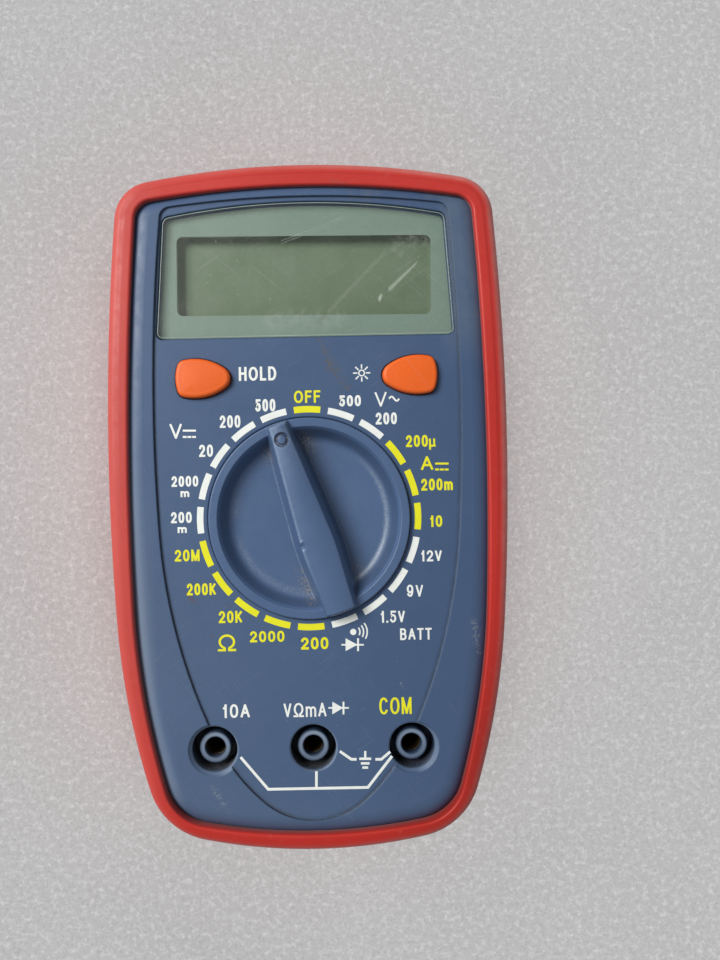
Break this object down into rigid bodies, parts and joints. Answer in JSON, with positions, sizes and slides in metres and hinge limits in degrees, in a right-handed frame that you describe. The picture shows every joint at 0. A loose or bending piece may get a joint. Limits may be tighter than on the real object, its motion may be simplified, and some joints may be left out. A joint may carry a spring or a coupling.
{
  "type": "multimeter",
  "caption": "Hand-held digital multimeter in a red rubber boot, with a rotary range dial, display, push buttons and plug sockets.",
  "frame": {"origin": "middle of the boot's resting face", "axes": "+Z out of the front face, +Y towards the display end, +X to the right seen from the front"},
  "size_m": [0.0772, 0.1321, 0.0348],
  "materials": {
    "boot_rubber": "satin",
    "case_plastic": "fine texture",
    "window_clear": "polished, scratched",
    "lcd_glass": "grey-green",
    "white_plastic": "satin",
    "strip_rubber": "matt",
    "button_orange": "satin",
    "knob_plastic": "satin",
    "switch_plastic": "matt",
    "spring_steel": "bright",
    "ball_steel": "polished",
    "contact_brass": "bright",
    "board_laminate": "solder mask",
    "plated_steel": "plated",
    "fuse_glass": "clear",
    "battery_wrap": "plain wrap",
    "snap_plastic": "soft",
    "lead_red": "insulation",
    "lead_black": "insulation",
    "component_mix": "lacquer",
    "trimmer_blue": "moulded",
    "label_film": "blank film"
  },
  "bodies": {
    "case": {"boot": "boot_rubber", "front_cover": "case_plastic", "rear_cover": "case_plastic", "display_window": "window_clear", "lcd_panel": "lcd_glass", "lcd_holder": "white_plastic", "backlight_panel": "white_plastic", "backlight_leds": "white_plastic", "lcd_contact_strip": "strip_rubber", "hold_switch_body": "switch_plastic", "backlight_switch_body": "switch_plastic", "chip_blob": "switch_plastic", "jack_contact_left": "contact_brass", "jack_contact_middle": "contact_brass", "jack_contact_right": "contact_brass", "fuse_clips": "contact_brass", "buzzer_disc": "contact_brass", "circuit_board": "board_laminate", "shunt_wire": "plated_steel", "fuse_end_caps": "plated_steel", "fuse_element": "plated_steel", "battery_terminals": "plated_steel", "case_screws": "plated_steel", "board_screws": "plated_steel", "fuse_glass": "fuse_glass", "battery_body": "battery_wrap", "battery_snap": "snap_plastic", "battery_lead_red": "lead_red", "battery_lead_black": "lead_black", "buzzer_leads": "lead_black", "capacitors": "component_mix", "resistors": "component_mix", "trimmer_pot": "trimmer_blue", "rear_label": "label_film"},
    "dial": {"dial_knob": "knob_plastic", "wiper_contacts": "contact_brass", "detent_spring_left": "spring_steel", "detent_spring_right": "spring_steel"},
    "detent_ball_left_body": {"detent_ball_left": "ball_steel"},
    "detent_ball_right_body": {"detent_ball_right": "ball_steel"},
    "hold_button_body": {"hold_button": "button_orange"},
    "hold_plunger_body": {"hold_switch_plunger": "switch_plastic"},
    "backlight_button_body": {"backlight_button": "button_orange"},
    "backlight_plunger_body": {"backlight_switch_plunger": "switch_plastic"}
  },
  "joints": [
    {"name": "dial_turn", "type": "hinge", "parent": "case", "child": "dial", "pos_m": [0, -0.0022, 0.0265], "axis": [0, 0, -1], "continuous": true},
    {"name": "ball_left_slide", "type": "slide", "parent": "dial", "child": "detent_ball_left_body", "axis": [-1, 0, 0], "range_m": [0, 0.0004], "stiffness_N_per_m": 400, "deforming": ["detent_spring_left"]},
    {"name": "ball_right_slide", "type": "slide", "parent": "dial", "child": "detent_ball_right_body", "axis": [1, 0, 0], "range_m": [0, 0.0004], "stiffness_N_per_m": 400, "deforming": ["detent_spring_right"]},
    {"name": "hold_press", "type": "slide", "parent": "case", "child": "hold_button_body", "axis": [0, 0, -1], "range_m": [0, 0.0005], "stiffness_N_per_m": 600},
    {"name": "hold_plunger_press", "type": "slide", "parent": "case", "child": "hold_plunger_body", "axis": [0, 0, -1], "range_m": [0, 0.0005]},
    {"name": "backlight_press", "type": "slide", "parent": "case", "child": "backlight_button_body", "axis": [0, 0, -1], "range_m": [0, 0.0005], "stiffness_N_per_m": 600},
    {"name": "backlight_plunger_press", "type": "slide", "parent": "case", "child": "backlight_plunger_body", "axis": [0, 0, -1], "range_m": [0, 0.0005]}
  ],
  "couplings": [
    {"joint": "hold_plunger_press", "follows": "hold_press", "ratio": 1},
    {"joint": "backlight_plunger_press", "follows": "backlight_press", "ratio": 1}
  ]
}
